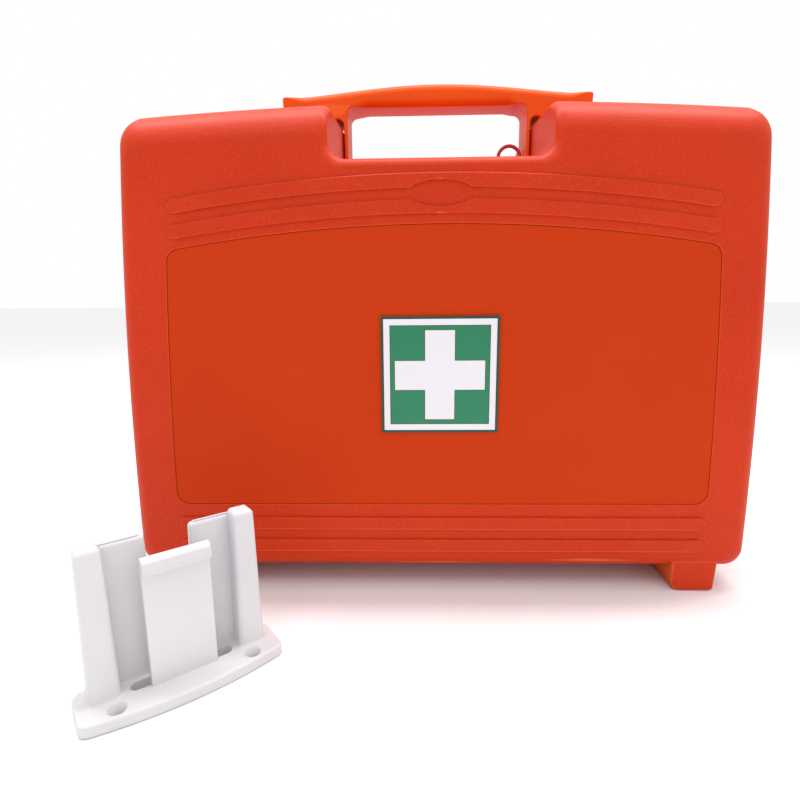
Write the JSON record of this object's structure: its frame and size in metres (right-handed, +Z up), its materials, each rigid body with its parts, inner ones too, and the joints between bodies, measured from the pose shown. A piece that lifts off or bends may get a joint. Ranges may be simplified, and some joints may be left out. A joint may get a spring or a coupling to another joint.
{
  "type": "first aid case",
  "caption": "Orange two-shell first aid case with fold-down lid, carry handle, turn latches, clear covers, dressings inside and a loose white wall bracket.",
  "frame": {"origin": "middle of the kit's outer box (case and bracket together), at floor level", "axes": "+X to the right along the case's width, -Y out of the front face, +Z up"},
  "size_m": [0.3998, 0.2752, 0.33],
  "materials": {
    "shell_orange": "fine moulded grain",
    "label_orange": "smooth",
    "handle_orange": "satin",
    "white_plastic": "satin",
    "sign_green": "printed",
    "border_green": "printed",
    "seal_red": "moulded",
    "steel": "zinc plated",
    "rubber": "matt",
    "grey_plastic": "satin",
    "clear_plastic": "clear sheet",
    "wrap_film": "sealed film",
    "gauze": "open weave",
    "paper": "paper and card",
    "booklet_card": "coated card",
    "foil": "folded film",
    "blue_film": "soft film"
  },
  "bodies": {
    "case": {"rear_shell": "shell_orange", "rim_seal": "rubber", "carry_handle": "handle_orange", "seal_loop": "seal_red", "rear_insert": "grey_plastic", "cover_rod": "steel", "plaster_box": "paper", "glove_pack": "blue_film", "scissor_blade_a": "steel", "scissor_rivet": "steel", "rescue_blanket": "foil", "hinge_pin_left": "steel", "handle_screw_left": "steel", "hinge_pin_right": "steel", "handle_screw_right": "steel", "dressing_pack_1": "wrap_film", "tape_roll_1": "paper", "dressing_pack_2": "wrap_film", "tape_roll_2": "paper", "triangular_bandage_1": "wrap_film", "bandage_roll_1": "gauze", "triangular_bandage_2": "wrap_film", "bandage_roll_2": "gauze", "triangular_bandage_3": "wrap_film", "bandage_roll_3": "gauze"},
    "lid": {"front_shell": "shell_orange", "label_panel": "label_orange", "sign_border": "border_green", "sign_frame": "white_plastic", "sign_field": "sign_green", "sign_cross": "white_plastic", "lid_insert": "grey_plastic", "lid_cover": "clear_plastic", "guide_booklet": "booklet_card", "cold_pack": "blue_film", "sling_pack": "gauze", "eye_dressing_1": "wrap_film", "eye_dressing_2": "wrap_film", "cover_rivet_1": "grey_plastic", "cover_rivet_2": "grey_plastic", "cover_rivet_3": "grey_plastic", "cover_rivet_4": "grey_plastic", "compress_pack_1": "paper", "compress_pack_2": "paper", "compress_pack_3": "paper", "compress_pack_4": "paper"},
    "inner_cover": {"rear_cover": "clear_plastic"},
    "latch_left": {"latch_knob_left": "white_plastic", "latch_cam_left": "steel", "latch_screw_left": "steel"},
    "latch_right": {"latch_knob_right": "white_plastic", "latch_cam_right": "steel", "latch_screw_right": "steel"},
    "scissor_half": {"scissor_blade_b": "steel"},
    "bracket": {"wall_bracket": "white_plastic"}
  },
  "joints": [
    {"name": "lid_hinge", "type": "hinge", "parent": "case", "child": "lid", "pos_m": [0, 0.06256, 0.0104], "axis": [1, 0, 0], "range_deg": [0, 90]},
    {"name": "cover_hinge", "type": "hinge", "parent": "case", "child": "inner_cover", "pos_m": [0, 0.07281, 0.0235], "axis": [1, 0, 0], "range_deg": [0, 45]},
    {"name": "latch_left_turn", "type": "hinge", "parent": "case", "child": "latch_left", "pos_m": [-0.133, 0.07156, 0.31], "axis": [0, 0, 1], "range_deg": [0, 90]},
    {"name": "latch_right_turn", "type": "hinge", "parent": "case", "child": "latch_right", "pos_m": [0.133, 0.07156, 0.31], "axis": [0, 0, -1], "range_deg": [0, 90]},
    {"name": "scissor_pivot", "type": "hinge", "parent": "case", "child": "scissor_half", "pos_m": [0.12848, 0.08106, 0.20975], "axis": [0, 1, 0], "range_deg": [0, 25]},
    {"name": "bracket_clear", "type": "slide", "parent": "case", "child": "bracket", "axis": [0, -1, 0], "range_m": [0, 0.25]}
  ],
  "couplings": [
    {"joint": "cover_hinge", "follows": "lid_hinge", "ratio": 0.5},
    {"joint": "bracket_clear", "follows": "lid_hinge", "m_per_rad": 0.155}
  ]
}
